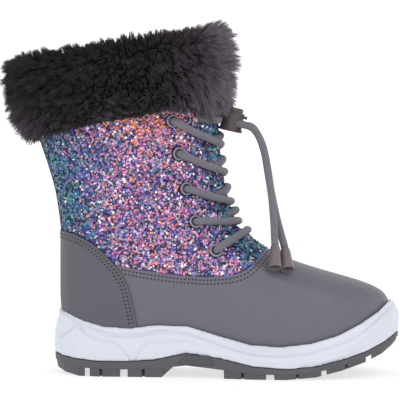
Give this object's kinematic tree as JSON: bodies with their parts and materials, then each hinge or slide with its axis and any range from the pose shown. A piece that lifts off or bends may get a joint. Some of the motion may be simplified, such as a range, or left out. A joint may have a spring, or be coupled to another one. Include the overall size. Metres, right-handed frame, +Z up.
{
  "type": "snow boot",
  "caption": "Child's lace-up winter boot with a glitter shaft, fur cuff, leather foot, white moulded midsole and lugged rubber outsole.",
  "frame": {"origin": "on the ground under the middle of the boot's box, measured without the free lace ends", "axes": "+X from heel to toe, +Y towards the inner side of the foot, +Z up"},
  "size_m": [0.2452, 0.1068, 0.215],
  "materials": {
    "sole_rubber": "matt dark grey moulded rubber",
    "midsole_foam": "smooth bluish white moulded sole unit, semi-matt",
    "lining": "short grey pile lining",
    "upper_leather": "smooth grey coated leather, soft sheen",
    "glitter_fabric": "chunky iridescent glitter on cloth",
    "fur": "long dark grey faux fur",
    "eyelet_metal": "grey lacquered eyelets",
    "lace": "round woven grey lace",
    "lock_plastic": "moulded brown-grey plastic",
    "bell_plastic": "moulded grey plastic, slight gloss"
  },
  "bodies": {
    "boot": {"outsole": "sole_rubber", "midsole": "midsole_foam", "insole": "lining", "upper": "upper_leather", "tongue": "glitter_fabric", "heel_counter": "upper_leather", "fur_cuff": "fur", "cord_lock_body": "lock_plastic", "lace_bar": "lace", "eyelet_outer_1": "eyelet_metal", "eyelet_outer_2": "eyelet_metal", "eyelet_outer_3": "eyelet_metal", "eyelet_outer_4": "eyelet_metal", "eyelet_outer_5": "eyelet_metal", "lace_lead_outer": "lace", "eyelet_inner_1": "eyelet_metal", "eyelet_inner_2": "eyelet_metal", "eyelet_inner_3": "eyelet_metal", "eyelet_inner_4": "eyelet_metal", "eyelet_inner_5": "eyelet_metal", "lace_lead_inner": "lace", "lace_crossing_1": "lace", "lace_crossing_2": "lace", "lace_crossing_3": "lace", "lace_crossing_4": "lace", "lace_end_near": "lace", "lace_bell_near": "bell_plastic", "lace_end_far": "lace", "lace_bell_far": "bell_plastic"},
    "lock_button": {"cord_lock_button": "lock_plastic"}
  },
  "joints": [
    {"name": "button_press", "type": "slide", "parent": "boot", "child": "lock_button", "axis": [0.225, 0, 0.9744], "range_m": [-0.0022, 0], "stiffness_N_per_m": 300, "springref_m": 0.001}
  ]
}
